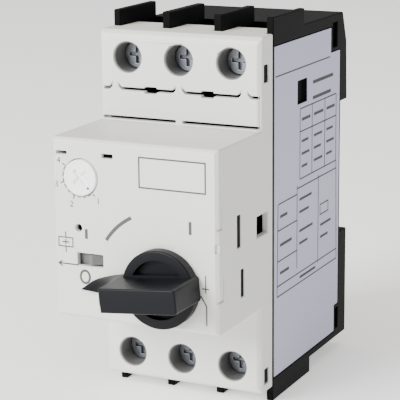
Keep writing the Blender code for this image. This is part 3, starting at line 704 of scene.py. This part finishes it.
for degrees in range(ruledRing["from"], ruledRing["to"], ruledRing["step"]):
    dash = ringPath(dialSpot, ruledRing["radius"], ruledRing["radius"], degrees,
                    degrees + ruledRing["dash"], 6)
    blockMarks.append(markAlong(dash, ruledRing["width"]))
lowest = dialNumbers[-1][1]
dialMark = markAlong([onRay(dialSpot, 3.0, lowest), onRay(dialSpot, 3.6, lowest)], 0.6)
printedPiece("dialPrint", [dialMark], onDial, bodyOf["current_dial"], ink)
printedPiece("blockPrint", blockMarks, onBlock, bodyOf["front_cover"], ink)
print("block and dial printed")

# Painted shade: each side slot is filled to just under its rim by a dark plate, and each terminal hole is lined
# with a grey sleeve, darkening them where shade falls.
slotShadeSpans = [
    # (depth from, depth to, height from, height to)
    (-14.0, -11.6, -3.7, 4.6), (-11.85, -9.65, -16.7, -9.5), (2.3, 5.2, 34.6, 39.1),
    (2.6, 5.5, -44.0, -40.0),
]
slotShadeFill = {"inner": 20.3, "outer": 22.12, "gap": 0.03}
shadeSleeveShape = {
    "outer": 4.02, "inner": 3.75, "lip": 0.08, "front": 0.5, "back": 10.2, "row": 39.35, "pitch": 14.5,
}


def slotPlates():
    # painted shade: a dark block in each slot of both side walls, its eight corners between a low and a high one
    square = [[0, 0], [1, 0], [1, 1], [0, 1]]
    corner = np.array([[x, y, z] for z in (0, 1) for x, y in square])
    quads = [[0, 3, 2, 1], [4, 5, 6, 7], [0, 1, 5, 4], [1, 2, 6, 5], [2, 3, 7, 6], [3, 0, 4, 7]]
    gap = slotShadeFill["gap"]
    blocks = []
    for side in (-1, 1):
        for depthLow, depthHigh, heightLow, heightHigh in slotShadeSpans:
            low = np.array([side * slotShadeFill["inner"], depthLow + gap, heightLow + gap])
            high = np.array([side * slotShadeFill["outer"], depthHigh - gap, heightHigh - gap])
            blocks.append((low + corner * (high - low), quads))
    points, faces = joined(blocks)
    return cleanMesh("slotPlates", toFrame(points), faces)


def shadeSleeveMesh():
    # painted shade for the terminal holes: a grey wall's profile turned about each screw's axis, closed on itself
    shape = shadeSleeveShape
    around = np.linspace(0, tau, 48, endpoint=False)[None]
    outer, inner, lip, front, back = (shape[key] for key in ("outer", "inner", "lip", "front", "back"))
    radius = np.array([outer, inner + lip, inner, inner, outer, outer])[:, None]
    depth = np.array([front, front, front + lip, back, back, front])[:, None]
    faces = ringFaces(len(radius), around.size)
    shadeSleeves = []
    for pole in (-1, 0, 1):
        for side in (-1, 1):
            x = pole * shape["pitch"] + radius * np.cos(around)
            height = side * shape["row"] + radius * np.sin(around)
            shadeSleeves.append((np.stack(np.broadcast_arrays(x, depth, height), -1), faces))
    points, faces = joined(shadeSleeves)
    return cleanMesh("terminalSleeves", toFrame(points), faces)


# dark plates in the side slots: painted shade
finishPiece("slotPlates", slotPlates(), bodyOf["base_housing"], "base")
# grey sleeves in the terminal holes: painted shade
finishPiece("terminalSleeves", shadeSleeveMesh(), bodyOf["front_cover"], "cover", material=holeShadeGrey)
print("slots and terminal holes lined")

labelLines = [
    # ((depth, height), ...) of each ruled line
    [(9.4, 35.1), (46.8, 35.1)],
    [(25.7, 24.3), (51.6, 24.3)], [(25.8, 18.2), (51.7, 18.2)], [(25.8, 5.5), (51.8, 5.5)],
    [(25.8, 24.3), (25.8, 5.5)], [(34.2, 24.3), (34.2, 5.5)], [(43.4, 24.3), (43.4, 5.5)],
    [(51.7, 24.3), (51.8, 5.5)],
    [(23.9, 3.3), (52.2, 3.3)],
    [(11.5, 1.8), (23.9, 1.8)], [(11.2, 1.8), (10.7, -22.8)], [(24.0, 4.1), (24.0, -18.4)],
    [(39.0, 4.0), (39.0, -20.6)], [(52.0, 5.5), (52.9, -22.6)],
    [(11.1, -5.2), (24.0, -5.2)], [(11.0, -13.4), (24.0, -13.4)],
    [(10.8, -20.0), (52.8, -20.0)], [(10.7, -22.8), (52.9, -22.8)],
]
labelBars = [
    # (start depth, end depth, height, thickness) of bars that stand in for lines of small type
    (34.6, 49.2, 30.0, 0.9), (34.6, 47.6, 25.8, 0.9),
    (27.0, 32.9, 21.3, 0.8), (35.5, 42.2, 21.3, 0.8), (44.6, 50.6, 21.3, 0.8),
    (27.0, 31.6, 15.5, 0.7), (35.5, 41.4, 15.5, 0.7), (44.6, 49.4, 15.5, 0.7),
    (27.0, 32.4, 12.1, 0.7), (35.5, 40.6, 12.1, 0.7), (44.6, 50.2, 12.1, 0.7),
    (27.0, 31.0, 8.7, 0.7), (35.5, 41.8, 8.7, 0.7), (44.6, 48.8, 8.7, 0.7),
    (12.6, 17.4, -1.7, 0.8), (12.6, 20.4, -9.3, 0.8), (12.6, 18.6, -16.8, 0.8),
    (25.6, 34.2, 0.0, 0.7), (25.6, 32.2, -3.4, 0.7), (25.6, 35.0, -8.6, 0.7), (25.6, 31.4, -12.0, 0.7),
    (40.6, 48.4, -10.4, 0.7), (40.6, 46.2, -13.8, 0.7), (26.0, 37.2, -21.4, 0.7),
]
ruleWidth = 0.36
labelMarks = [markAlong(line, ruleWidth) for line in labelLines]
for start, end, height, thick in labelBars:
    labelMarks.append(markAlong([(start, height), (end, height)], thick))
labelMarks.append(markAlong(boxPath((40.4, -7.4), (46.3, -4.6)), ruleWidth, True))
printedPiece("labelPrint", labelMarks, onLabel, bodyOf["side_label"], inkDark)
print("label printed")

# Camera, light and floor. The camera stands to the right of the front and a little above it.
view = {
    "eye": (183.11, -420.95, 98.71),      # millimetres in the frame
    "forward": (-0.4241, 0.8749, -0.2337),
    "right": (0.9008, 0.4342, -0.0089),
    "lens": 148.14,
    "sensor": 36.0,
}

cameraData = bpy.data.cameras.new("camera")
cameraData.lens = view["lens"]
cameraData.sensor_width = view["sensor"]
cameraData.clip_start = 0.05
cameraData.clip_end = 20.0
camera = bpy.data.objects.new("camera", cameraData)
bpy.context.scene.collection.objects.link(camera)
aim = Vector(view["forward"]).normalized()
up = Vector(view["right"]).cross(aim).normalized()
turned = Matrix([aim.cross(up), up, -aim]).transposed().to_4x4()
camera.matrix_world = Matrix.Translation(Vector(view["eye"]) * mm) @ turned
bpy.context.scene.camera = camera

world = bpy.data.worlds.new("studio")
world.use_nodes = True
world.node_tree.nodes["Background"].inputs["Color"].default_value = (1.0, 1.0, 1.0, 1.0)
world.node_tree.nodes["Background"].inputs["Strength"].default_value = 0.68
bpy.context.scene.world = world


def softLight(name, place, size, power, color="FFFFFF"):
    # a square area light that faces the middle of the object
    data = bpy.data.lights.new(name, "AREA")
    data.shape = "SQUARE"
    data.size = size
    data.energy = power
    data.color = linear(color)
    light = bpy.data.objects.new(name, data)
    bpy.context.scene.collection.objects.link(light)
    light.location = place
    toward = Vector((0, -0.03, 0)) - Vector(place)
    light.rotation_euler = toward.to_track_quat("-Z", "Y").to_euler()
    return light


# where each light stands in metres, its side in metres, its power in watts
softLight("keyLight", (-0.45, -1.05, 0.55), 0.6, 30.5)
softLight("fillLight", (0.9, -0.5, 0.4), 0.9, 0.5)
softLight("topLight", (0.0, 0.0, 1.1), 0.8, 3.0, "FFF0C8")

# matt white paper, lit a little from below as on a light table
floorMaterial = surfaceMaterial("paleFloor", "FCFCFC", 0.8, grain=2.0, bump=0.0, mottle=0.003)
floorShader = floorMaterial.node_tree.nodes["Principled BSDF"]
floorShader.inputs["Emission Color"].default_value = (1.0, 1.0, 1.0, 1.0)
floorShader.inputs["Emission Strength"].default_value = 0.5
floorHeight = cadBox[0][2]
floorSize = 3.0
corners = np.array([(-1, -1), (1, -1), (1, 1), (-1, 1)]) * floorSize
floorMesh = meshFrom("floor", np.column_stack([corners, np.full(4, floorHeight)]), [(0, 1, 2, 3)])
floorMesh.materials.append(floorMaterial)
floorPiece = bpy.data.objects.new("floor", floorMesh)
bpy.context.scene.collection.objects.link(floorPiece)
print("camera, light and floor set")
